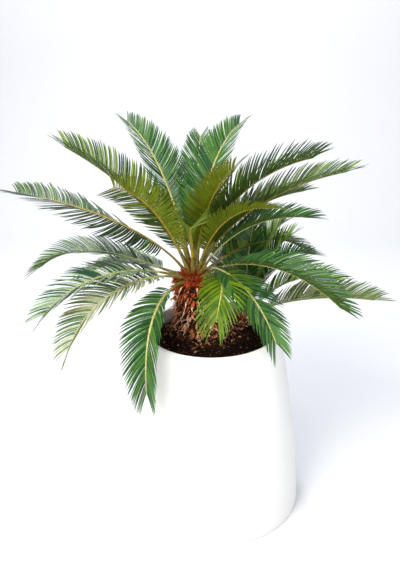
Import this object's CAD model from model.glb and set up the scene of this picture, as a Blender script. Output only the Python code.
import math
import random
from collections import namedtuple

import bmesh
import bpy
import numpy as np
from mathutils import Matrix, Vector, noise


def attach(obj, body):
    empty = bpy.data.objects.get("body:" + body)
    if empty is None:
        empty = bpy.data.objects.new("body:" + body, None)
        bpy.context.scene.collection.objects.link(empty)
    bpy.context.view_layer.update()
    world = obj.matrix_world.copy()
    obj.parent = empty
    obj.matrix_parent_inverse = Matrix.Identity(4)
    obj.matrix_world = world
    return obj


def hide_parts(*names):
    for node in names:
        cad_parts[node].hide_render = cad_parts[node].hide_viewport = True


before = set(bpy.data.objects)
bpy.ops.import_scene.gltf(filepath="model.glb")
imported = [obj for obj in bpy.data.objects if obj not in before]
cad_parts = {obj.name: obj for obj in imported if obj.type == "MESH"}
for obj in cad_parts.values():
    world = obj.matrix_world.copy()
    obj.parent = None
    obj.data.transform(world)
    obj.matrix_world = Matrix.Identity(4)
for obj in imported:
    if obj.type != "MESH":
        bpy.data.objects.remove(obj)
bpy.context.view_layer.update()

# Camera
# A standing viewer a little over two metres from the pot, looking 22 degrees down on the plant, with
# the picture's long side upright. The camera leans one degree, as the rim in the photograph does.
VIEW_FROM = (-0.0368, -2.0826, 1.6051)
VIEW_DOWN = 22.0
VIEW_LEAN = -1.0
LENS = 46.36
SENSOR_WIDTH = 36
camera_data = bpy.data.cameras.new("viewer")
camera_data.sensor_width = SENSOR_WIDTH
camera_data.lens = LENS
camera = bpy.data.objects.new("viewer", camera_data)
camera.matrix_world = (Matrix.Translation(VIEW_FROM)
                       @ Matrix.Rotation(math.radians(90 - VIEW_DOWN), 4, "X")
                       @ Matrix.Rotation(math.radians(VIEW_LEAN), 4, "Z"))
bpy.context.scene.collection.objects.link(camera)
bpy.context.scene.camera = camera

# Studio
# A white sweep of paper that runs from the floor up behind the plant. The main lamp stands high in front
# on the left; weaker ones stand low in front, at both sides and behind, and one lights the paper alone.
FLOOR_HALF = 6.0
SWEEP_AT = 2.6
SWEEP_RADIUS = 1.2
SWEEP_HEIGHT = 5.0
SWEEP_STEPS = 12
ROOM_LIGHT = 0.43
# A Mix node's two colours and its result: they share their names with other sockets of the node
MIX_A, MIX_B, MIX_RESULT = 6, 7, 2


def linear(colour):
    """An sRGB hex colour as linear red, green, blue and alpha."""
    parts = [int(colour[i:i + 2], 16) / 255 for i in (1, 3, 5)]
    return (*[c / 12.92 if c <= 0.04045 else ((c + 0.055) / 1.055) ** 2.4 for c in parts], 1.0)


def add_node(tree, kind, inputs=(), **settings):
    """Adds one node; inputs gives its sockets a value or another node's output."""
    made = tree.nodes.new(kind)
    for name, value in settings.items():
        setattr(made, name, value)
    for socket, value in dict(inputs).items():
        if isinstance(value, bpy.types.NodeSocket):
            tree.links.new(value, made.inputs[socket])
        else:
            made.inputs[socket].default_value = value
    return made


def spots(millimetres):
    """The scale at which a pattern's spots are this wide."""
    return 1000 / millimetres


def new_material(name, colour, roughness, **inputs):
    """A Principled material with its even values set; gives the material, its nodes and its shader."""
    made = bpy.data.materials.new(name)
    made.use_nodes = True
    shader = made.node_tree.nodes["Principled BSDF"]
    shader.inputs["Base Color"].default_value = linear(colour)
    shader.inputs["Roughness"].default_value = roughness
    for socket, value in inputs.items():
        shader.inputs[socket.replace("_", " ")].default_value = value
    made.diffuse_color = linear(colour)
    return made, made.node_tree, shader


def add_piece(name, bm, materials, replaced):
    """Makes the piece from its bmesh."""
    mesh = bpy.data.meshes.new(name)
    bm.to_mesh(mesh)
    bm.free()
    finish_piece(name, mesh, materials, replaced)


def finish_piece(name, mesh, materials, replaced, smooth=True):
    """Gives the mesh its materials and its object, which rides and stands for CAD nodes."""
    for look in materials:
        mesh.materials.append(look)
    if smooth:
        mesh.shade_smooth()
    else:
        mesh.shade_flat()
    made = bpy.data.objects.new(name, mesh)
    bpy.context.scene.collection.objects.link(made)
    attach(made, "root")
    if replaced:
        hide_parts(*replaced)


bm = bmesh.new()
edge = [bm.verts.new((-FLOOR_HALF, y, z)) for y, z in
        [(-FLOOR_HALF, 0), (SWEEP_AT, 0)]
        + [(SWEEP_AT + SWEEP_RADIUS * math.sin(a), SWEEP_RADIUS * (1 - math.cos(a)))
           for a in np.linspace(0, math.pi / 2, SWEEP_STEPS + 1)[1:]]
        + [(SWEEP_AT + SWEEP_RADIUS, SWEEP_HEIGHT)]]
edges = [bm.edges.new(pair) for pair in zip(edge, edge[1:])]
across = [v for v in bmesh.ops.extrude_edge_only(bm, edges=edges)["geom"] if isinstance(v, bmesh.types.BMVert)]
bmesh.ops.translate(bm, verts=across, vec=(2 * FLOOR_HALF, 0, 0))
bmesh.ops.recalc_face_normals(bm, faces=bm.faces)
mesh = bpy.data.meshes.new("studio_sweep")
bm.to_mesh(mesh)
bm.free()
mesh.shade_smooth()
# Seamless background paper: even, with no shine
paper, _, _ = new_material("background_paper", "#D6D8DD", 0.95)
mesh.materials.append(paper)
sweep = bpy.data.objects.new("studio_sweep", mesh)
bpy.context.scene.collection.objects.link(sweep)

world = bpy.data.worlds.new("studio_light")
world.use_nodes = True
world.node_tree.nodes["Background"].inputs["Color"].default_value = linear("#FAFCFF")
world.node_tree.nodes["Background"].inputs["Strength"].default_value = ROOM_LIGHT
bpy.context.scene.world = world
bpy.context.scene.view_settings.view_transform = "Standard"


def add_lamp(name, place, target, size, watts, colour):
    """A round soft lamp that points at its target."""
    data = bpy.data.lights.new(name, "AREA")
    data.shape = "DISK"
    data.size = size
    data.energy = watts
    data.color = linear(colour)[:3]
    lamp = bpy.data.objects.new(name, data)
    way = Vector(target) - Vector(place)
    lamp.matrix_world = Matrix.Translation(place) @ way.to_track_quat("-Z", "Y").to_matrix().to_4x4()
    bpy.context.scene.collection.objects.link(lamp)


add_lamp("soft_lamp_front", (-1.2, -1.8, 3.3), (0, 0, 0.8), 1.6, 125, "#FFFAF0")
add_lamp("soft_lamp_low", (-0.6, -2.6, 1.2), (0, 0, 0.7), 1.8, 42, "#FFFBF4")
add_lamp("soft_lamp_right", (2.6, -1.4, 1.7), (0, 0, 0.8), 1.6, 45, "#F8FAFF")
add_lamp("soft_lamp_left", (-2.6, -0.9, 0.5), (0, 0, 0.4), 1.4, 20, "#FFFFFF")
add_lamp("soft_lamp_back", (-0.8, 1.9, 3.0), (0, 0, 0.9), 1.4, 46, "#FFFFFF")
add_lamp("soft_lamp_paper", (0.1, 1.5, 3.3), (0, 3.8, 1.8), 2.4, 62, "#FFFFFF")

# Pot
# A tall round floor planter that widens towards its foot, moulded from glass-fibre with a thick wall,
# finished in matt white lacquer. Its rim is rounded over and its foot has a small bevel.
POT_HEIGHT = 0.62
POT_FOOT_RADIUS = 0.28
POT_RIM_RADIUS = 0.21
POT_SWELL = 1.6
POT_WALL = 0.009
POT_FLOOR = 0.016
RIM_ROUND = 0.003
RIM_STEPS = 10
FOOT_BEVEL = 0.003
FOOT_CURVE = 0.3
POT_STEPS = 176
INNER_RINGS = 14
OUTER_RINGS = 28


def pot_radius(z):
    """Radius of the pot's outside: narrow at the rim, swelling out towards the foot."""
    return POT_FOOT_RADIUS - (POT_FOOT_RADIUS - POT_RIM_RADIUS) * (z / POT_HEIGHT) ** POT_SWELL


def turned(profile, steps):
    """Spins a half profile, from the axis out and back to it, into a closed solid."""
    bm = bmesh.new()
    verts = [bm.verts.new((r, 0, z)) for r, z in profile]
    line = [bm.edges.new(pair) for pair in zip(verts, verts[1:])]
    bmesh.ops.spin(bm, geom=verts + line, cent=(0, 0, 0), axis=(0, 0, 1), angle=2 * math.pi,
                   steps=steps, use_merge=True)
    bmesh.ops.remove_doubles(bm, verts=bm.verts, dist=1e-6)
    bmesh.ops.recalc_face_normals(bm, faces=bm.faces)
    return bm


rim_bend = [(math.cos(a), math.sin(a)) for a in np.linspace(math.pi, 0, RIM_STEPS + 1)]
rim_middle = POT_RIM_RADIUS - POT_WALL / 2
inner = [(pot_radius(z) - POT_WALL, z) for z in np.linspace(POT_FLOOR, POT_HEIGHT - RIM_ROUND, INNER_RINGS)]
rim = [(rim_middle + c * POT_WALL / 2, POT_HEIGHT - RIM_ROUND + s * RIM_ROUND) for c, s in rim_bend]
outer = [(pot_radius(z), z) for z in np.linspace(POT_HEIGHT - RIM_ROUND, FOOT_BEVEL, OUTER_RINGS)]
foot = [(POT_FOOT_RADIUS - FOOT_BEVEL * FOOT_CURVE, FOOT_BEVEL * FOOT_CURVE),
        (POT_FOOT_RADIUS - FOOT_BEVEL, 0)]
bm = turned([(0, POT_FLOOR)] + inner + rim[1:-1] + outer + foot + [(0, 0)], POT_STEPS)
# Matt lacquer, sprayed on: an even soft white whose gloss clouds a little and that has a faint orange peel.
# The peel is a millimetre wide in life and drawn coarser here, since finer spots would only flicker
lacquer, tree, shader = new_material("matt_white_lacquer", "#DADAD8", 0.5, Specular_IOR_Level=0.35)
place = add_node(tree, "ShaderNodeTexCoord").outputs["Object"]
cloud = add_node(tree, "ShaderNodeTexNoise",
                 {"Vector": place, "Scale": spots(70), "Detail": 3.0}).outputs["Fac"]
gloss = add_node(tree, "ShaderNodeMapRange",
                 {"Value": cloud, "To Min": 0.42, "To Max": 0.6}).outputs["Result"]
tree.links.new(gloss, shader.inputs["Roughness"])
peel = add_node(tree, "ShaderNodeTexNoise",
                {"Vector": place, "Scale": spots(2.4), "Detail": 2.0}).outputs["Fac"]
bump = add_node(tree, "ShaderNodeBump",
                {"Height": peel, "Strength": 0.06, "Distance": 0.0006}).outputs["Normal"]
tree.links.new(bump, shader.inputs["Normal"])
tint = add_node(tree, "ShaderNodeMix", {"Factor": cloud, MIX_A: linear("#D6D6D4"), MIX_B: linear("#DDDDDC")},
                data_type="RGBA").outputs[MIX_RESULT]
tree.links.new(tint, shader.inputs["Base Color"])
add_piece("pot_shell", bm, [lacquer], ["pot"])

# Soil
# Dark potting mix that fills the pot to a few centimetres below its rim and is heaped a little round
# the trunk. It is crumbly, and has sunk a little along the wall of the pot.
SOIL_TOP = 0.565
SOIL_GAP = 0.0006
SOIL_STEPS = 168
TOP_RINGS = 62
SIDE_RINGS = 8
SIDE_STARTS = 0.012
HEAP_HEIGHT, HEAP_WIDTH = 0.024, 0.050
DIP_DEPTH, DIP_WIDTH = 0.008, 0.012
# Height of the crumbs, from coarse to fine, and how many there are to the metre
CRUMBS = ((0.0035, 38), (0.0022, 110), (0.0012, 260))
TRUNK_FOOT = np.array((-0.038, 0.066, SOIL_TOP))
TRUNK_TOP = np.array((-0.055, 0.050, 0.762))
TRUNK_RADII = ((0.0, 0.12, 0.4, 0.75, 0.93, 1.0), (0.080, 0.076, 0.070, 0.066, 0.063, 0.058))


def soil_height(x, y):
    """Level of the soil: heaped round the trunk, lower along the pot, and crumbly."""
    from_trunk = math.hypot(x - TRUNK_FOOT[0], y - TRUNK_FOOT[1]) - TRUNK_RADII[1][0]
    heap = HEAP_HEIGHT * math.exp(-(max(from_trunk, 0) / HEAP_WIDTH) ** 2)
    to_wall = pot_radius(SOIL_TOP) - POT_WALL - math.hypot(x, y)
    dip = DIP_DEPTH * math.exp(-to_wall / DIP_WIDTH)
    crumbs = sum(high * noise.noise(Vector((x, y, 0)) * pitch) for high, pitch in CRUMBS)
    return SOIL_TOP + heap - dip + crumbs


def soil_wall(z):
    """Radius of the soil, just clear of the pot's inner wall."""
    return pot_radius(z) - POT_WALL - SOIL_GAP


top_radius = soil_wall(SOIL_TOP)
level = [(top_radius * share, SOIL_TOP) for share in np.linspace(0, 1, TOP_RINGS)]
side = [(soil_wall(z), z) for z in np.linspace(SOIL_TOP - SIDE_STARTS, POT_FLOOR + SOIL_GAP, SIDE_RINGS)]
bm = turned(level + side + [(0, POT_FLOOR + SOIL_GAP)], SOIL_STEPS)
for vert in bm.verts:
    if vert.co.z > SOIL_TOP - SIDE_STARTS / 2:
        vert.co.z = soil_height(vert.co.x, vert.co.y)
# Peat and composted bark: near black when damp, browner where a crumb has dried, with no shine
peat, tree, shader = new_material("damp_peat", "#2A1A12", 0.92, Specular_IOR_Level=0.1)
place = add_node(tree, "ShaderNodeTexCoord").outputs["Object"]
crumb = add_node(tree, "ShaderNodeTexVoronoi", {"Vector": place, "Scale": spots(3)}).outputs["Color"]
dried = add_node(tree, "ShaderNodeMix", {"Factor": crumb, MIX_A: linear("#060302"), MIX_B: linear("#241209")},
                 data_type="RGBA").outputs[MIX_RESULT]
damp = add_node(tree, "ShaderNodeTexNoise",
                {"Vector": place, "Scale": spots(16), "Detail": 6.0, "Roughness": 0.7}).outputs["Fac"]
spread = add_node(tree, "ShaderNodeMapRange",
                  {"Value": damp, "From Min": 0.4, "From Max": 0.62}).outputs["Result"]
soil_mix = add_node(tree, "ShaderNodeMix", {"Factor": spread, MIX_A: linear("#080403"), MIX_B: dried},
                    data_type="RGBA").outputs[MIX_RESULT]
tree.links.new(soil_mix, shader.inputs["Base Color"])
grain = add_node(tree, "ShaderNodeTexNoise",
                 {"Vector": place, "Scale": spots(2), "Detail": 5.0}).outputs["Fac"]
bump = add_node(tree, "ShaderNodeBump",
                {"Height": grain, "Strength": 0.9, "Distance": 0.002}).outputs["Normal"]
tree.links.new(bump, shader.inputs["Normal"])
add_piece("soil_bed", bm, [peat], ["soil"])

# Bark chips and crumbs
# Loose flat chips of bark, from crumbs to pieces the size of a fingernail, raked over the potting mix
# and piled against the trunk's foot. They lie at all angles, partly sunk in.
CHIP_COUNT = 7500
CHIP_LENGTHS = (0.004, 0.007, 0.011, 0.016)
NEAR_TRUNK_SHARE = 0.36
NEAR_SPREAD, NEAR_OVERLAP = 0.038, 0.006
# How many are of each length and of each of the four barks, near the trunk and elsewhere
NEAR_LENGTHS, FAR_LENGTHS = (0.45, 0.33, 0.17, 0.05), (0.80, 0.17, 0.03, 0.0)
NEAR_BARKS, FAR_BARKS = (0.20, 0.26, 0.28, 0.26), (0.03, 0.22, 0.47, 0.28)
NEAR_TILT, FAR_TILT = 0.55, 0.35
CHIP_LIFT = 0.30
PILE_HEIGHT, PILE_FROM, PILE_WIDTH, PILE_ENDS = 0.008, 0.07, 0.1, 0.12


def each_copy(values, steps):
    """One template's indices or material numbers, moved on by a step for each copy, as one flat row."""
    return (values[None] + np.asarray(steps)[:, None]).reshape(-1).astype(np.int32)


def copies_mesh(name, template, places, material_of):
    """One mesh of many copies: places holds each copy's points, and material_of shifts its materials."""
    count, size = places.shape[:2]
    copies = np.arange(count)
    faces = np.array([len(f) for f in template.faces])
    corners = np.concatenate([np.array(f) for f in template.faces])
    starts = np.concatenate([[0], np.cumsum(faces)[:-1]])
    mesh = bpy.data.meshes.new(name)
    mesh.vertices.add(count * size)
    mesh.vertices.foreach_set("co", places.reshape(-1).astype(np.float32))
    mesh.loops.add(count * len(corners))
    mesh.loops.foreach_set("vertex_index", each_copy(corners, size * copies))
    mesh.polygons.add(count * len(faces))
    mesh.polygons.foreach_set("loop_start", each_copy(starts, len(corners) * copies))
    mesh.polygons.foreach_set("material_index", each_copy(template.materials, material_of))
    mesh.update(calc_edges=True)
    mesh.validate()
    return mesh


Template = namedtuple("Template", "points faces materials")


def as_template(bm, material_at=lambda centre: 0):
    """Points, faces and materials of a bmesh, for making many copies of it."""
    bmesh.ops.recalc_face_normals(bm, faces=bm.faces)
    bm.verts.index_update()
    points = np.array([v.co[:] for v in bm.verts])
    faces = [[v.index for v in f.verts] for f in bm.faces]
    materials = np.array([material_at(f.calc_center_median()) for f in bm.faces])
    bm.free()
    return Template(points, faces, materials)


bm = bmesh.new()
bmesh.ops.create_icosphere(bm, subdivisions=1, radius=0.5)
rng = random.Random(5)
for vert in bm.verts:
    vert.co *= rng.uniform(0.75, 1.15)
chip = as_template(bm)
spread_rng = np.random.default_rng(21)
chips, chip_looks = [], []
while len(chips) < CHIP_COUNT:
    near = spread_rng.random() < NEAR_TRUNK_SHARE
    if near:
        turn = spread_rng.uniform(0, 2 * math.pi)
        away = TRUNK_RADII[1][0] + abs(spread_rng.normal(0, NEAR_SPREAD)) - NEAR_OVERLAP
        x, y = TRUNK_FOOT[0] + away * math.cos(turn), TRUNK_FOOT[1] + away * math.sin(turn)
    else:
        turn, away = spread_rng.uniform(0, 2 * math.pi), top_radius * math.sqrt(spread_rng.random())
        x, y = away * math.cos(turn), away * math.sin(turn)
    length = spread_rng.choice(CHIP_LENGTHS, p=NEAR_LENGTHS if near else FAR_LENGTHS)
    length *= spread_rng.uniform(0.8, 1.2)
    if math.hypot(x, y) > top_radius - 0.6 * length:
        continue
    size = Vector((length, length * spread_rng.uniform(0.35, 0.75), length * spread_rng.uniform(0.14, 0.35)))
    tilt = NEAR_TILT if near else FAR_TILT
    turned_by = (Matrix.Rotation(spread_rng.uniform(0, 6.28), 3, "Z")
                 @ Matrix.Rotation(spread_rng.normal(0, tilt), 3, "X")
                 @ Matrix.Rotation(spread_rng.normal(0, tilt), 3, "Y") @ Matrix.Diagonal(size))
    lift = CHIP_LIFT * size.z
    if near and away < PILE_ENDS:
        lift += PILE_HEIGHT * spread_rng.random() * (1 - (away - PILE_FROM) / PILE_WIDTH)
    at = np.array((x, y, soil_height(x, y) + lift))
    chips.append(chip.points @ np.array(turned_by).T + at)
    chip_looks.append(spread_rng.choice((0, 1, 2, 3), p=NEAR_BARKS if near else FAR_BARKS))


def fibrous(name, light, dark, roughness, streak=4):
    """Dry dull plant fibre: two browns in blotches, its hairs drawn a millimetre wide, coarser than life."""
    made, tree, shader = new_material(name, light, roughness, Specular_IOR_Level=0.15)
    place = add_node(tree, "ShaderNodeTexCoord").outputs["Object"]
    blotch = add_node(tree, "ShaderNodeTexNoise", {"Vector": place, "Scale": spots(streak), "Detail": 4.0,
                                                   "Roughness": 0.65}).outputs["Fac"]
    share = add_node(tree, "ShaderNodeMapRange",
                     {"Value": blotch, "From Min": 0.36, "From Max": 0.66}).outputs["Result"]
    mixed = add_node(tree, "ShaderNodeMix", {"Factor": share, MIX_A: linear(dark), MIX_B: linear(light)},
                     data_type="RGBA").outputs[MIX_RESULT]
    tree.links.new(mixed, shader.inputs["Base Color"])
    hairs = add_node(tree, "ShaderNodeTexNoise",
                     {"Vector": place, "Scale": spots(1.1), "Detail": 3.0}).outputs["Fac"]
    bump = add_node(tree, "ShaderNodeBump",
                    {"Height": hairs, "Strength": 0.5, "Distance": 0.0008}).outputs["Normal"]
    tree.links.new(bump, shader.inputs["Normal"])
    return made


# Split pine bark: pale tan where it is dry and broken, red-brown on its skin, dark where it is damp
bark_tan = fibrous("dry_bark_tan", "#C49272", "#704630", 0.85)
bark_brown = fibrous("bark_skin_brown", "#5C341E", "#2A170C", 0.88)
bark_dark = fibrous("damp_bark_dark", "#180C08", "#080402", 0.8)
bark_red = fibrous("bark_skin_red", "#3E1C10", "#180A05", 0.88)
mesh = copies_mesh("bark_chips", chip, np.array(chips), chip_looks)
finish_piece("bark_chips", mesh, [bark_tan, bark_brown, bark_dark, bark_red], [], smooth=False)

# Trunk
# Short fibrous barrel that leans a little, built up of the stubs of old leaf stalks in close spirals.
# Between the stubs it is dark, and dry scales curl out of it all round.
TRUNK_SIDES = 96
TRUNK_ROWS = 64
STUB_COLUMNS, STUB_TWIST, STUB_ROWS = 14, 13, 24
STUB_HEIGHT, STUB_SUNK = 0.007, 0.006
RAGGED_HEIGHT, RAGGED_ROUND, RAGGED_UP = 0.0035, 6, 20


def trunk_centre(share):
    """Middle of the trunk at this share of its height."""
    return TRUNK_FOOT + (TRUNK_TOP - TRUNK_FOOT) * share


def trunk_radius(share):
    """Radius of the trunk over its stubs at this share of its height."""
    return np.interp(share, *TRUNK_RADII)


def next_ring(bm, ring):
    """Extrudes a closed ring of edges and gives the new ring in the same order."""
    edges = [bm.edges.get((ring[i - 1], ring[i])) for i in range(len(ring))]
    made = bmesh.ops.extrude_edge_only(bm, edges=edges)["geom"]
    by_place = {tuple(v.co): v for v in made if isinstance(v, bmesh.types.BMVert)}
    return [by_place[tuple(v.co)] for v in ring]


bm = bmesh.new()
ring = bmesh.ops.create_circle(bm, cap_ends=True, segments=TRUNK_SIDES, radius=1)["verts"]
for row in range(TRUNK_ROWS + 1):
    share = row / TRUNK_ROWS
    if row:
        ring = next_ring(bm, ring)
    centre = Vector(trunk_centre(share))
    for k, vert in enumerate(ring):
        turn = 2 * math.pi * k / TRUNK_SIDES
        spiral = Vector((STUB_COLUMNS / 2 * turn / math.pi + STUB_TWIST * share, STUB_ROWS * share, 0))
        step_up = 0.5 * math.floor(spiral.x)
        stub = abs(math.sin(math.pi * spiral.x)) * abs(math.sin(math.pi * (spiral.y * 0.5 + step_up)))
        place = Vector((math.cos(turn) * RAGGED_ROUND, math.sin(turn) * RAGGED_ROUND, share * RAGGED_UP))
        ragged = noise.noise(place) * RAGGED_HEIGHT
        radius = trunk_radius(share) - STUB_SUNK + STUB_HEIGHT * stub + ragged
        vert.co = centre + Vector((radius * math.cos(turn), radius * math.sin(turn), 0))
bmesh.ops.contextual_create(bm, geom=ring)
bmesh.ops.recalc_face_normals(bm, faces=bm.faces)
# Dead leaf-stalk fibre: dark brown felt with red-brown stubs, dry and very rough
core = fibrous("trunk_fibre", "#3C2214", "#120805", 0.95, 7)
add_piece("trunk_core", bm, [core], ["trunk"])

# Dry scales of the trunk
# Each is the dead base of an old stalk or a bud scale: a papery, tapered strip two to four centimetres
# long that has curled outwards as it dried, rooted in the fibre of the trunk.
TRUNK_SCALES = 900
TRUNK_SCALE_LENGTHS = (0.020, 0.042)
TRUNK_SCALE_WIDTHS = (0.0045, 0.0085)
TRUNK_SCALE_CURLS = (1.2, 4.2)
TRUNK_SCALE_CLIMBS = (20, 62)
SCALE_ROOTED = 0.007
TURNED_OVER_SHARE = 0.35
SCALE_STATIONS = (0, 0.18, 0.4, 0.62, 0.82, 1.0)
SCALE_THICKNESS = 0.32
SCALE_TIP = 0.0003
UPRIGHT = np.array((0, 0, 1))
GOLDEN_TURN = math.pi * (3 - math.sqrt(5))


def strip_template(sides, stations, material_at=lambda centre: 0):
    """A closed straight blade of unit size: x across, y through its thickness, z from foot to tip."""
    bm = bmesh.new()
    ring = bmesh.ops.create_circle(bm, cap_ends=True, segments=sides, radius=1)["verts"]
    for row, z in enumerate(stations):
        if row:
            ring = next_ring(bm, ring)
        for k, vert in enumerate(ring):
            turn = 2 * math.pi * k / sides
            vert.co = Vector((math.cos(turn), math.sin(turn), z))
    bmesh.ops.contextual_create(bm, geom=ring)
    return as_template(bm, material_at)


scale_blade = strip_template(6, SCALE_STATIONS)


def scale_points(foot, way, face, length, width, curl, twist):
    """A dry scale: broad above its root, drawn to a point, curling towards its face."""
    x, y, z = scale_blade.points.T
    side = np.cross(way, face)
    angle = curl * z
    straight = abs(curl) < 1e-3
    along = z if straight else np.sin(angle) / curl
    over = 0 * z if straight else (1 - np.cos(angle)) / curl
    half = width / 2 * (1 - z ** 1.6) * (0.75 + 0.25 * np.minimum(1, 4 * z)) + SCALE_TIP
    thick = half * SCALE_THICKNESS
    ahead = np.cos(angle)[:, None] * way + np.sin(angle)[:, None] * face
    back = np.cos(angle)[:, None] * face - np.sin(angle)[:, None] * way
    roll = twist * z
    wide = np.cos(roll)[:, None] * side + np.sin(roll)[:, None] * back
    through = np.cos(roll)[:, None] * back - np.sin(roll)[:, None] * side
    return (foot + length * (along[:, None] * way + over[:, None] * face)
            + (x * half)[:, None] * wide + (y * thick)[:, None] * through)


scale_rng = np.random.default_rng(8)
scales, scale_looks = [], []
for k in range(TRUNK_SCALES):
    share = 0.02 + 0.97 * (k + 0.5) / TRUNK_SCALES
    turn = k * GOLDEN_TURN + scale_rng.normal(0, 0.08)
    out = np.array((math.cos(turn), math.sin(turn), 0))
    root = trunk_centre(share) + out * (trunk_radius(share) - SCALE_ROOTED)
    climb = math.radians(scale_rng.uniform(*TRUNK_SCALE_CLIMBS))
    way = out * math.cos(climb) + UPRIGHT * math.sin(climb)
    sway = np.cross(out, UPRIGHT) * scale_rng.normal(0, 0.6)
    way = (way + sway) / np.linalg.norm(way + sway)
    face = out * math.sin(climb) - UPRIGHT * math.cos(climb)
    face = face - way * (face @ way)
    face = face / np.linalg.norm(face) * (-1 if scale_rng.random() < TURNED_OVER_SHARE else 1)
    scales.append(scale_points(root, way, face, scale_rng.uniform(*TRUNK_SCALE_LENGTHS),
                               scale_rng.uniform(*TRUNK_SCALE_WIDTHS), scale_rng.uniform(*TRUNK_SCALE_CURLS),
                               scale_rng.normal(0, 0.9)))
    warm = scale_rng.random() < (share - 0.35) * 1.2
    scale_looks.append(3 if warm else scale_rng.choice((0, 1, 2), p=(0.46, 0.36, 0.18)))
# Papery dead tissue: tan where it is bleached, brown in the folds, rust-red near the crown
scale_tan = fibrous("bleached_scale_tan", "#F8D4B8", "#C48E6C", 0.8)
scale_brown = fibrous("dry_scale_brown", "#CC8252", "#7A4222", 0.85)
scale_dark = fibrous("old_scale_dark", "#5E321C", "#22100A", 0.9)
scale_rust = fibrous("rust_scale", "#CC6030", "#7E3418", 0.82)
mesh = copies_mesh("trunk_scales", scale_blade, np.array(scales), scale_looks)
finish_piece("trunk_scales", mesh, [scale_tan, scale_brown, scale_dark, scale_rust],
             ["trunk"])

# Crown
# The growing point is wrapped in rust-red wool and stiff pointed bud scales, which stand up between the
# feet of the leaf stalks. The wool is felted, the scales are one or two centimetres long.
Dome = namedtuple("Dome", "centre radius height")
# The dome that the stalks grow out of, and the lower one of felt that shows between them
CROWN = Dome(TRUNK_TOP, 0.062, 0.070)
WOOL = Dome(TRUNK_TOP, 0.058, 0.024)
CROWN_SCALES = 430
CROWN_SCALE_LENGTHS = (0.012, 0.024)
CROWN_SCALE_WIDTHS = (0.004, 0.0075)
CROWN_SCALE_CLIMBS = (-20, 74)
SCALES_REACH_IN = 0.9


def felted_dome(dome, shrink, relief, sides, rows):
    """A dome closed underneath, its skin lumpy like felt."""
    bm = bmesh.new()
    bmesh.ops.create_uvsphere(bm, u_segments=sides, v_segments=rows, radius=1)
    bmesh.ops.bisect_plane(bm, geom=list(bm.verts) + list(bm.edges) + list(bm.faces), dist=1e-6,
                           plane_co=(0, 0, 0), plane_no=(0, 0, 1), clear_inner=True)
    bmesh.ops.contextual_create(bm, geom=[e for e in bm.edges if e.is_boundary])
    for vert in bm.verts:
        lump = 1 + relief * noise.noise(vert.co * 9) + 0.5 * relief * noise.noise(vert.co * 27)
        scaled = Vector((vert.co.x * dome.radius, vert.co.y * dome.radius, vert.co.z * dome.height))
        vert.co = scaled * (lump if vert.co.z > 1e-4 else 1) * shrink + Vector(dome.centre)
    bmesh.ops.recalc_face_normals(bm, faces=bm.faces)
    return bm


# Felted hair: matt rust-orange fluff with darker red hollows
wool, tree, shader = new_material("rust_felt", "#C8501A", 0.95, Sheen_Weight=0.15, Sheen_Roughness=0.5,
                                  Specular_IOR_Level=0.1)
place = add_node(tree, "ShaderNodeTexCoord").outputs["Object"]
tuft = add_node(tree, "ShaderNodeTexNoise",
                {"Vector": place, "Scale": spots(6), "Detail": 6.0, "Roughness": 0.75}).outputs["Fac"]
share = add_node(tree, "ShaderNodeMapRange",
                 {"Value": tuft, "From Min": 0.38, "From Max": 0.64}).outputs["Result"]
felt = add_node(tree, "ShaderNodeMix", {"Factor": share, MIX_A: linear("#3C0E06"), MIX_B: linear("#B44A1A")},
                data_type="RGBA").outputs[MIX_RESULT]
tree.links.new(felt, shader.inputs["Base Color"])
bump = add_node(tree, "ShaderNodeBump",
                {"Height": tuft, "Strength": 1.0, "Distance": 0.004}).outputs["Normal"]
tree.links.new(bump, shader.inputs["Normal"])
add_piece("crown_felt", felted_dome(WOOL, 0.97, 0.12, 96, 48), [wool], ["crown_wool"])


def dome_scales(dome, count, lengths, widths, climbs, rng):
    """Bud scales rooted over a dome by the golden turn, those near its top standing straighter."""
    made = []
    for k in range(count):
        rise = (k + 0.5) / count
        turn = k * GOLDEN_TURN
        flat = math.sqrt(1 - rise ** 2)
        out = np.array((math.cos(turn), math.sin(turn), 0))
        on_dome = np.array((dome.radius * flat * out[0], dome.radius * flat * out[1], dome.height * rise))
        root = dome.centre + SCALES_REACH_IN * on_dome
        climb = math.radians(climbs[0] + (climbs[1] - climbs[0]) * rise + rng.normal(0, 10))
        way = out * math.cos(climb) + UPRIGHT * math.sin(climb)
        sway = np.cross(out, UPRIGHT) * rng.normal(0, 0.22)
        way = (way + sway) / np.linalg.norm(way + sway)
        face = out - way * (out @ way)
        face = face / max(np.linalg.norm(face), 1e-6)
        made.append(scale_points(root, way, face, rng.uniform(*lengths), rng.uniform(*widths),
                                 rng.uniform(-0.3, 1.1), rng.normal(0, 0.35)))
    return np.array(made)


crown_rng = np.random.default_rng(12)
crown_scales = dome_scales(WOOL, CROWN_SCALES, CROWN_SCALE_LENGTHS, CROWN_SCALE_WIDTHS, CROWN_SCALE_CLIMBS,
                           crown_rng)
crown_looks = crown_rng.choice((0, 1, 2), size=len(crown_scales), p=(0.42, 0.40, 0.18))
# Stiff bud scales: rust-orange hair over a dark red-brown skin, bleached at some tips
scale_orange = fibrous("hairy_scale_orange", "#CC4A18", "#7E280C", 0.85)
scale_red = fibrous("hairy_scale_red", "#8C240C", "#3C0C06", 0.85)
scale_pale = fibrous("hairy_scale_pale", "#B8743A", "#7C3C1A", 0.85)
mesh = copies_mesh("crown_scales", scale_blade, crown_scales, crown_looks)
finish_piece("crown_scales", mesh, [scale_orange, scale_red, scale_pale], ["crown_wool"])

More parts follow.
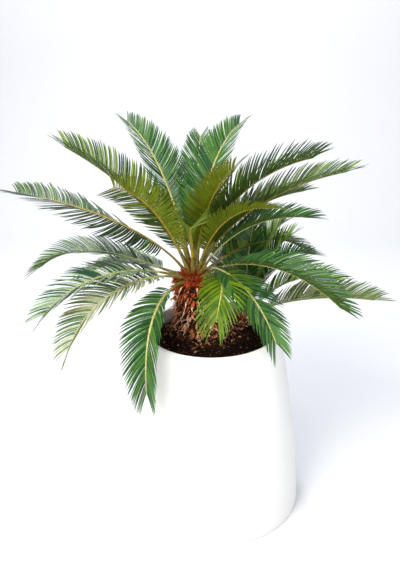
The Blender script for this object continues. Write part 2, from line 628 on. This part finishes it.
# Offshoot
# A young plant from the same root has pushed up beside the trunk. Of its own stem only a low knob shows,
# wrapped in brown scales like the trunk's.
OFFSHOOT = Dome(np.array((0.105, 0.140, SOIL_TOP)), 0.034, 0.040)
STEM_SCALES = 170
STEM_SCALE_LENGTHS = (0.011, 0.022)
STEM_SCALE_WIDTHS = (0.004, 0.007)
STEM_SCALE_CLIMBS = (35, 82)
# The trunk's dead fibre, a little lighter and finer on the young stem
stem_fibre = fibrous("offshoot_fibre", "#5A3620", "#241409", 0.92, 6)
add_piece("offshoot_knob", felted_dome(OFFSHOOT, 0.93, 0.10, 56, 28), [stem_fibre],
          ["offshoot_stem"])
stem_rng = np.random.default_rng(31)
stem_scales = dome_scales(OFFSHOOT, STEM_SCALES, STEM_SCALE_LENGTHS, STEM_SCALE_WIDTHS, STEM_SCALE_CLIMBS,
                          stem_rng)
stem_looks = stem_rng.choice((0, 1, 2), size=len(stem_scales), p=(0.3, 0.45, 0.25))
mesh = copies_mesh("offshoot_scales", scale_blade, stem_scales, stem_looks)
finish_piece("offshoot_scales", mesh, [scale_tan, scale_brown, scale_dark],
             ["offshoot_stem"])

# Fronds
# Stiff feather-shaped leaves that arch out of the crown and out of the offshoot. The stalk runs through
# the blade as a rib, and two rows of leathery leaflets stand on it in a V, shorter towards the tip.

# Azimuth is counted from +X towards +Y, lift is the first slope of the rib, droop is how far it has
# turned down at the tip, bend below 1 turns it early, sweep turns it sideways, roll turns the blade.
# Reach is the longest leaflets' length, lean their turn off the rib, vee their rise over the blade, and
# rises how much more the last ones rise. Parts is how many CAD nodes the frond has, looks its green.
Frond = namedtuple("Frond", "name azimuth lift droop bend length sweep roll reach lean vee rises parts looks")
CROWN_FRONDS = [
    Frond("frond_01", 265, 74, 66, 1.0, 0.31, 8, 0, 0.104, 90, 78, -46, 1, "olive"),
    Frond("frond_02", 305, 82, 44, 1.2, 0.39, 4, 0, 0.110, 58, 16, 12, 1, "olive"),
    Frond("frond_03", 221, 66, 50, 1.5, 0.455, 20, -60, 0.084, 80, 0, 20, 1, "olive"),
    Frond("frond_04", 232, 10, 106, 0.91, 0.42, 35, 0, 0.116, 56, 40, 4, 2, "lush"),
    Frond("frond_05", 314, 52, 115, 0.5, 0.38, -3, 0, 0.110, 60, 5, 4, 2, "lush"),
    Frond("frond_06", 219, 23, 92, 1.15, 0.46, -15, 0, 0.126, 70, 14, 12, 1, "pale"),
    Frond("frond_07", 201, 23, 68, 1.28, 0.46, 5, 0, 0.122, 68, 12, 10, 1, "blue"),
    Frond("frond_08", 188, 25, 69, 2.4, 0.45, -12, 0, 0.116, 64, 14, 12, 1, "blue"),
    Frond("frond_09", 201, 56, 59, 0.8, 0.60, -53, 0, 0.130, 75, -26, 60, 1, "dusky"),
    Frond("frond_10", 319, 72, 68, 1.16, 0.38, -3, 20, 0.104, 58, 10, 12, 1, "olive"),
    Frond("frond_11", 118, 67, 56, 1.07, 0.61, 0, 0, 0.116, 58, 30, 8, 1, "lush"),
    Frond("frond_12", 66, 83, 70, 1.05, 0.53, -6, 0, 0.110, 58, 28, 8, 1, "lush"),
    Frond("frond_13", 84, 71, 56, 1.0, 0.50, 3, 0, 0.106, 58, 28, 10, 1, "lush"),
    Frond("frond_14", 150, 67, 42, 0.52, 0.54, 12, 0, 0.132, 68, 40, 6, 1, "deep"),
    Frond("frond_15", 349, 77, 66, 1.05, 0.50, 8, 0, 0.136, 70, 34, 6, 1, "deep"),
    Frond("frond_16", 344, 68, 59, 0.78, 0.54, 18, 0, 0.122, 68, 28, 4, 1, "deep"),
    Frond("frond_17", 11, 69, 68, 0.8, 0.41, 10, 0, 0.100, 58, 28, 10, 1, "deep"),
    Frond("frond_18", 122, 60, 50, 1.2, 0.30, 0, 0, 0.096, 58, 20, 8, 1, "deep"),
    Frond("frond_19", 88, 52, 95, 1.3, 0.47, 0, 0, 0.108, 58, 24, 10, 1, "deep"),
    Frond("frond_20", 108, 50, 80, 1.3, 0.42, 0, 0, 0.108, 58, 24, 10, 1, "lush"),
    Frond("frond_21", 58, 44, 85, 1.3, 0.47, 0, 0, 0.108, 58, 24, 10, 1, "deep"),
    Frond("frond_22", 150, 10, 48, 1.3, 0.40, 0, 0, 0.108, 58, 24, 10, 1, "blue"),
    Frond("frond_23", 36, 24, 60, 1.3, 0.43, 0, 0, 0.108, 58, 24, 10, 1, "deep"),
    Frond("frond_24", 316, 30, 112, 1.3, 0.25, -84, 0, 0.122, 54, 22, 0, 2, "young"),
    Frond("frond_25", 332, 58, 67, 1.3, 0.39, 26, 0, 0.106, 60, 20, 10, 1, "lush"),
    Frond("frond_26", 326, 36, 72, 0.92, 0.48, -2, 0, 0.114, 60, 20, 45, 1, "lush"),
]
OFFSHOOT_FRONDS = [
    Frond("offshoot_frond_1", 1, 60, 76, 1.21, 0.34, -11, 0, 0.104, 58, 18, 12, 1, "bright"),
    Frond("offshoot_frond_2", 339, 55, 68, 0.5, 0.43, 32, 0, 0.132, 62, 30, 10, 1, "pale"),
    Frond("offshoot_frond_3", 42, 79, 64, 2.5, 0.35, -12, 0, 0.104, 56, 24, 10, 1, "bright"),
    Frond("offshoot_frond_4", 138, 82, 26, 1.3, 0.36, 0, 0, 0.096, 56, 24, 10, 1, "lush"),
    Frond("offshoot_frond_5", 66, 86, 34, 1.3, 0.36, 0, 0, 0.096, 56, 24, 10, 1, "lush"),
    Frond("offshoot_frond_6", 4, 77, 48, 2.0, 0.31, 15, 0, 0.104, 56, 24, 10, 1, "bright"),
    Frond("offshoot_frond_7", 112, 62, 80, 1.3, 0.34, 0, 0, 0.096, 56, 24, 10, 1, "deep"),
    Frond("offshoot_frond_8", 69, 74, 98, 1.4, 0.34, 0, 0, 0.096, 56, 24, 10, 1, "lush"),
    Frond("offshoot_frond_9", 24, 71, 94, 1.6, 0.34, 0, 0, 0.096, 56, 24, 10, 1, "lush"),
]
OFFSHOOT_SIZE = 0.8
BARE_SHARE = 0.17
ROOT_CLIMB = 0.85
ROOT_REACH = 0.8
RIB_STEPS = 96
STEPS = np.linspace(0, 1, RIB_STEPS + 1)


def unit(vectors):
    """The same directions with a length of one."""
    return vectors / np.linalg.norm(vectors, axis=-1, keepdims=True)


def rib_line(frond, dome):
    """Points along the rib with the tangent, the blade's sideways direction and its upward one."""
    climb = ROOT_CLIMB * math.radians(min(frond.lift, 90))
    turn = math.radians(frond.azimuth)
    root = dome.centre + ROOT_REACH * np.array((dome.radius * math.cos(climb) * math.cos(turn),
                                                dome.radius * math.cos(climb) * math.sin(turn),
                                                dome.height * math.sin(climb)))
    az = np.radians(frond.azimuth + frond.sweep * STEPS)
    slope = np.radians(frond.lift - frond.droop * STEPS ** frond.bend)
    ahead = np.stack((np.cos(slope) * np.cos(az), np.cos(slope) * np.sin(az), np.sin(slope)), 1)
    flat = np.stack((np.sin(az), -np.cos(az), 0 * az), 1)
    rise = np.cross(flat, ahead)
    roll = np.radians(frond.roll * STEPS)[:, None]
    side = np.cos(roll) * flat + np.sin(roll) * rise
    up = np.cos(roll) * rise - np.sin(roll) * flat
    points = root + np.concatenate((np.zeros((1, 3)), np.cumsum(ahead[:-1], 0))) * (frond.length / RIB_STEPS)
    return points, ahead, side, up


def at_share(line, shares):
    """The rib's point and directions at these shares of its length."""
    return [np.stack([np.interp(shares, STEPS, part[:, axis]) for axis in range(3)], -1) for part in line]


# Leaf stalks and ribs
# Tapered and flattened rods, oval in section with a shallow channel on top, swollen and brown where they
# leave the crown, golden olive along the bare stalk and gold to yellow-green between the leaflets.
STALK_HALF_WIDTH = (0.0060, 0.0044, 0.0036, 0.0013)
STALK_HALF_HEIGHT = (0.0050, 0.0036, 0.0028, 0.0011)
STALK_SHARES = (0, 0.15, 0.5, 1.0)
STALK_BURIED = 0.030
SWELLING_ENDS = 0.03
CHANNEL_LEVEL = 0.72
# Up to the first share the rod is brown, up to the second olive, and then it is the rib
FOOT_SHARE = 0.07
RIB_SHARE = BARE_SHARE + 0.04
stalk_stations = np.concatenate((np.linspace(0, 0.1, 5), np.linspace(0.1, 1, 44)[1:]))
stalk_rod = strip_template(10, stalk_stations,
                           lambda c: 0 if c.z < FOOT_SHARE else 1 if c.z < RIB_SHARE else 2)


def stalk_points(line, size, length):
    """The rod of one stalk and rib; its foot runs on straight for a little, down into the wool."""
    x, y, z = stalk_rod.points.T
    buried = size * STALK_BURIED / length
    z = z * (1 + buried) - buried
    point, ahead, side, up = at_share(line, z)
    point = point + (np.minimum(z, 0) * length)[:, None] * ahead
    z = np.maximum(z, 0)
    swelling = np.exp(-z / SWELLING_ENDS)
    wide = size * np.interp(z, STALK_SHARES, STALK_HALF_WIDTH) * (1 + 0.5 * swelling)
    high = size * np.interp(z, STALK_SHARES, STALK_HALF_HEIGHT) * (1 + 0.4 * swelling)
    channel = np.where(y > 0.9, CHANNEL_LEVEL, 1.0)
    return point + (x * wide)[:, None] * side + (y * channel * high)[:, None] * up


def stalk_material(name, light, dark):
    """Living stalk: waxy skin, a little blotched in two shades."""
    made, tree, shader = new_material(name, light, 0.42)
    place = add_node(tree, "ShaderNodeTexCoord").outputs["Object"]
    fleck = add_node(tree, "ShaderNodeTexNoise",
                     {"Vector": place, "Scale": spots(8), "Detail": 5.0, "Roughness": 0.6}).outputs["Fac"]
    share = add_node(tree, "ShaderNodeMapRange",
                     {"Value": fleck, "From Min": 0.35, "From Max": 0.7}).outputs["Result"]
    mixed = add_node(tree, "ShaderNodeMix", {"Factor": share, MIX_A: linear(dark), MIX_B: linear(light)},
                     data_type="RGBA").outputs[MIX_RESULT]
    tree.links.new(mixed, shader.inputs["Base Color"])
    bump = add_node(tree, "ShaderNodeBump",
                    {"Height": fleck, "Strength": 0.25, "Distance": 0.0006}).outputs["Normal"]
    tree.links.new(bump, shader.inputs["Normal"])
    return made


# Waxy stalk skin: brown and woolly at its foot, golden olive above, and one of three shades as a rib
stalk_foot = stalk_material("stalk_foot_brown", "#8C5A22", "#54300F")
stalk_olive = stalk_material("stalk_olive", "#8C8030", "#4C420E")
rib_gold = stalk_material("rib_gold", "#A88E28", "#786A18")
rib_pale = stalk_material("rib_pale", "#BDB878", "#8E9048")
rib_yellow = stalk_material("rib_yellow", "#B4AC52", "#84882F")


def frond_nodes(fronds):
    """The CAD nodes of these fronds; one that is bent hard is two nodes there."""
    return [name for frond in fronds for name in
            ([frond.name + "_inner", frond.name + "_outer"] if frond.parts == 2 else [frond.name])]


# Leaflets
# Narrow leathery blades eight to thirteen centimetres long and seven millimetres wide, with a stiff point.
# They are glossy above and duller below, lean forward, and curve over a little towards their tips.
LEAFLET_PITCH = 0.0068
LEAFLET_HALF_WIDTH = 0.0034
LEAFLET_STATIONS = (0, 0.07, 0.25, 0.45, 0.65, 0.82, 0.94, 1.0)
LEAFLET_OUTLINE = ((0, 0.06, 0.2, 0.6, 0.82, 0.94, 1.0), (0.72, 0.92, 1.0, 1.0, 0.78, 0.38, 0.05))
LEAFLET_THICKNESS = (0.16, 0.20)
EXTRA_LEAN = 12
LEAFLET_TURNS_AHEAD = 38
LEAFLET_TWIST = 10
# How far a leaflet bends ahead and how far it hangs, as shares of its length
FORWARD = 0.28
SAG = 0.10
# A leaflet that would run into something is shortened to the first share at which these points are free
SHORTER = (1.0, 0.8, 0.6, 0.42)
TESTED_AT = (0.3, 0.55, 0.8, 1.0)
# The third pair of skins, upper and under, is for leaflets in the shade. These fronds have a row, on the
# side given, that is mostly of it
SHADE_SKIN = 4
SHADED_ROWS = {"frond_03": 1, "frond_09": -1, "frond_15": -1}
SHADED_SHARE = 0.85
LEAF_DARKER = 0.72
WAX_UNEVEN = 0.08
# How far a leaflet stays clear of the pot's wall and of its rim, of the soil and of the trunk
WALL_CLEAR, RIM_CLEAR, SOIL_CLEAR, TRUNK_CLEAR = 0.005, 0.004, 0.006, 0.004
leaflet_blade = strip_template(6, LEAFLET_STATIONS, lambda c: 0 if c.y > 0 else 1)


def standing_in(point):
    """True where a leaflet would run into the trunk, the crown, the offshoot, the soil or the pot."""
    x, y, z = point
    share = (z - TRUNK_FOOT[2]) / (TRUNK_TOP[2] - TRUNK_FOOT[2])
    centre = trunk_centre(share)
    if share < 1 and math.hypot(x - centre[0], y - centre[1]) < trunk_radius(share) + TRUNK_CLEAR:
        return True
    for dome in (CROWN, OFFSHOOT):
        out = (point - dome.centre) / (dome.radius, dome.radius, dome.height)
        if z > dome.centre[2] and out @ out < 1.05:
            return True
    radius = math.hypot(x, y)
    from_wall = abs(radius - pot_radius(min(z, POT_HEIGHT)) + POT_WALL / 2)
    if z < POT_HEIGHT + RIM_CLEAR and from_wall < POT_WALL / 2 + WALL_CLEAR:
        return True
    return z < SOIL_TOP + SOIL_CLEAR and radius < pot_radius(max(z, 0))


def leaflet_points(foot, way, ahead, face, reach, half_width, sag):
    """One leaflet laid along its curve, as points of the blade's shape."""
    x, y, z = leaflet_blade.points.T
    t = z[:, None]
    curve = foot + reach * (way * t + ahead * FORWARD * t ** 2 - UPRIGHT * sag * t ** 2)
    tangent = unit(way + 2 * t * (ahead * FORWARD - UPRIGHT * sag))
    wide = unit(np.cross(tangent, face))
    through = np.cross(wide, tangent)
    half = half_width * np.interp(z, *LEAFLET_OUTLINE)
    thick = np.where(y > 0, *LEAFLET_THICKNESS) * half
    return curve + (x * half)[:, None] * wide + (y * thick)[:, None] * through


def grow_leaflets(frond, line, size, rng):
    """All leaflets of one frond, as points and first skin, by the rule that the solids follow."""
    pairs = round(frond.length * (1 - BARE_SHARE) / LEAFLET_PITCH)
    made = []
    for k in range(pairs):
        if k % 3 == 0:
            drift = {1: rng.normal(0, 0.7), -1: rng.normal(0, 0.7)}
        share = BARE_SHARE + (1 - BARE_SHARE) * (k + 0.5) / pairs
        along = (share - BARE_SHARE) / (1 - BARE_SHARE)
        point, ahead, side, up = (part[0] for part in at_share(line, np.array([share])))
        rib_half = size * np.interp(share, STALK_SHARES, STALK_HALF_WIDTH)
        for hand in (1, -1):
            lean = math.radians(frond.lean + EXTRA_LEAN - LEAFLET_TURNS_AHEAD * along ** 1.3 + drift[hand]
                                + rng.normal(0, 1.1))
            vee = math.radians(frond.vee + frond.rises * along + 1.5 * drift[hand] + rng.normal(0, 2.0))
            across = math.cos(vee) * hand * side + math.sin(vee) * up
            face = math.cos(vee) * up - math.sin(vee) * hand * side
            way = math.cos(lean) * ahead + math.sin(lean) * across
            chord = np.linalg.norm(way + ahead * FORWARD)
            # The first leaflets are a third as long as the longest, the last ones three fifths
            reach = (frond.reach / chord * min(1, 0.35 + 2.2 * along) * (1 - 0.38 * along ** 3)
                     * rng.uniform(0.97, 1.02))
            face = unit(face + math.tan(math.radians(rng.normal(0, LEAFLET_TWIST))) * np.cross(way, face))
            foot = point + hand * side * rib_half * 0.55 - up * 0.0004
            sag = SAG * rng.uniform(0.4, 1.5)
            for shorter in SHORTER:
                tested = [foot + reach * shorter * (way * t + ahead * FORWARD * t * t - UPRIGHT * sag * t * t)
                          for t in TESTED_AT]
                if not any(standing_in(p) for p in tested):
                    break
            else:
                continue
            shaded = SHADED_ROWS.get(frond.name) == hand and rng.random() < SHADED_SHARE
            skin = SHADE_SKIN if shaded else 2 * rng.integers(0, 2)
            half_width = (LEAFLET_HALF_WIDTH * (0.75 + 0.25 * min(1, 4 * along)) * (1 - 0.4 * along ** 2)
                          * rng.uniform(0.9, 1.1))
            made.append((leaflet_points(foot, way, ahead, face, reach * shorter, half_width, sag), skin))
    return made


def leaf_material(name, colour, roughness, **inputs):
    """Leaf skin: one green, a little darker in places, with the wax's own unevenness in its shine."""
    made, tree, shader = new_material(name, colour, roughness, **inputs)
    place = add_node(tree, "ShaderNodeTexCoord").outputs["Object"]
    fleck = add_node(tree, "ShaderNodeTexNoise",
                     {"Vector": place, "Scale": spots(30), "Detail": 2.0}).outputs["Fac"]
    share = add_node(tree, "ShaderNodeMapRange",
                     {"Value": fleck, "From Min": 0.35, "From Max": 0.65}).outputs["Result"]
    darker = tuple(LEAF_DARKER * c for c in linear(colour)[:3]) + (1.0,)
    mixed = add_node(tree, "ShaderNodeMix", {"Factor": share, MIX_A: darker, MIX_B: linear(colour)},
                     data_type="RGBA").outputs[MIX_RESULT]
    tree.links.new(mixed, shader.inputs["Base Color"])
    wax = add_node(tree, "ShaderNodeMapRange", {"Value": fleck, "To Min": roughness - WAX_UNEVEN,
                                                "To Max": roughness + WAX_UNEVEN}).outputs["Result"]
    tree.links.new(wax, shader.inputs["Roughness"])
    return made


# Leaf greens: above on a light and on a dark leaflet, below, and on a leaflet in the shade; with them
# the rib that runs between the leaflets
LeafLook = namedtuple("LeafLook", "light dark under shade rib slot")
LEAF_LOOKS = {
    "deep": LeafLook("#748F3C", "#365418", "#445E1C", "#223C14", rib_gold, "frond_green_c"),
    "blue": LeafLook("#89A27A", "#244C34", "#4A6228", "#24401E", rib_pale, "frond_green_c"),
    "lush": LeafLook("#48782E", "#225022", "#3C5818", "#24400E", rib_pale, "frond_green_a"),
    "dusky": LeafLook("#48701C", "#28480F", "#4A6618", "#20380E", rib_gold, "frond_green_c"),
    "bright": LeafLook("#9AC058", "#366018", "#6A8624", "#2C4A10", rib_yellow, "frond_green_b"),
    "pale": LeafLook("#A4AA80", "#587444", "#728242", "#3C5224", rib_pale, "frond_green_b"),
    "olive": LeafLook("#627C1C", "#334F08", "#66720E", "#2A4612", rib_gold, "frond_green_a"),
    "young": LeafLook("#6C8A14", "#466C0C", "#70841A", "#4A6212", rib_yellow, "young_frond"),
}
GROWN = ([(frond, CROWN, 1.0) for frond in CROWN_FRONDS]
         + [(frond, OFFSHOOT, OFFSHOOT_SIZE) for frond in OFFSHOOT_FRONDS])
for number, (name, look) in enumerate(LEAF_LOOKS.items()):
    group = [row for row in GROWN if row[0].looks == name]
    nodes = frond_nodes([frond for frond, _, _ in group])
    lines = [rib_line(frond, dome) for frond, dome, _ in group]
    rods = np.array([stalk_points(line, size, frond.length) for line, (frond, _, size) in zip(lines, group)])
    mesh = copies_mesh("stalks_" + name, stalk_rod, rods, [0] * len(rods))
    finish_piece("stalks_" + name, mesh, [stalk_foot, stalk_olive, look.rib], nodes)
    leaf_rng = np.random.default_rng(100 + number)
    blades = [leaflet for line, (frond, _, size) in zip(lines, group)
              for leaflet in grow_leaflets(frond, line, size, leaf_rng)]
    mesh = copies_mesh("leaflets_" + name, leaflet_blade, np.array([points for points, _ in blades]),
                       [skin for _, skin in blades])
    # Waxed leather-like leaf skin: glossy above, with a soft white sheen of light, and matt below
    skins = [leaf_material(f"leaf_upper_light_{name}", look.light, 0.42, Specular_IOR_Level=0.34),
             leaf_material(f"leaf_under_light_{name}", look.under, 0.60, Specular_IOR_Level=0.2),
             leaf_material(f"leaf_upper_dark_{name}", look.dark, 0.34, Specular_IOR_Level=0.42),
             leaf_material(f"leaf_under_dark_{name}", look.under, 0.65, Specular_IOR_Level=0.15),
             leaf_material(f"leaf_upper_shade_{name}", look.shade, 0.34, Specular_IOR_Level=0.42),
             leaf_material(f"leaf_under_shade_{name}", look.shade, 0.45, Specular_IOR_Level=0.3)]
    finish_piece("leaflets_" + name, mesh, skins, nodes)
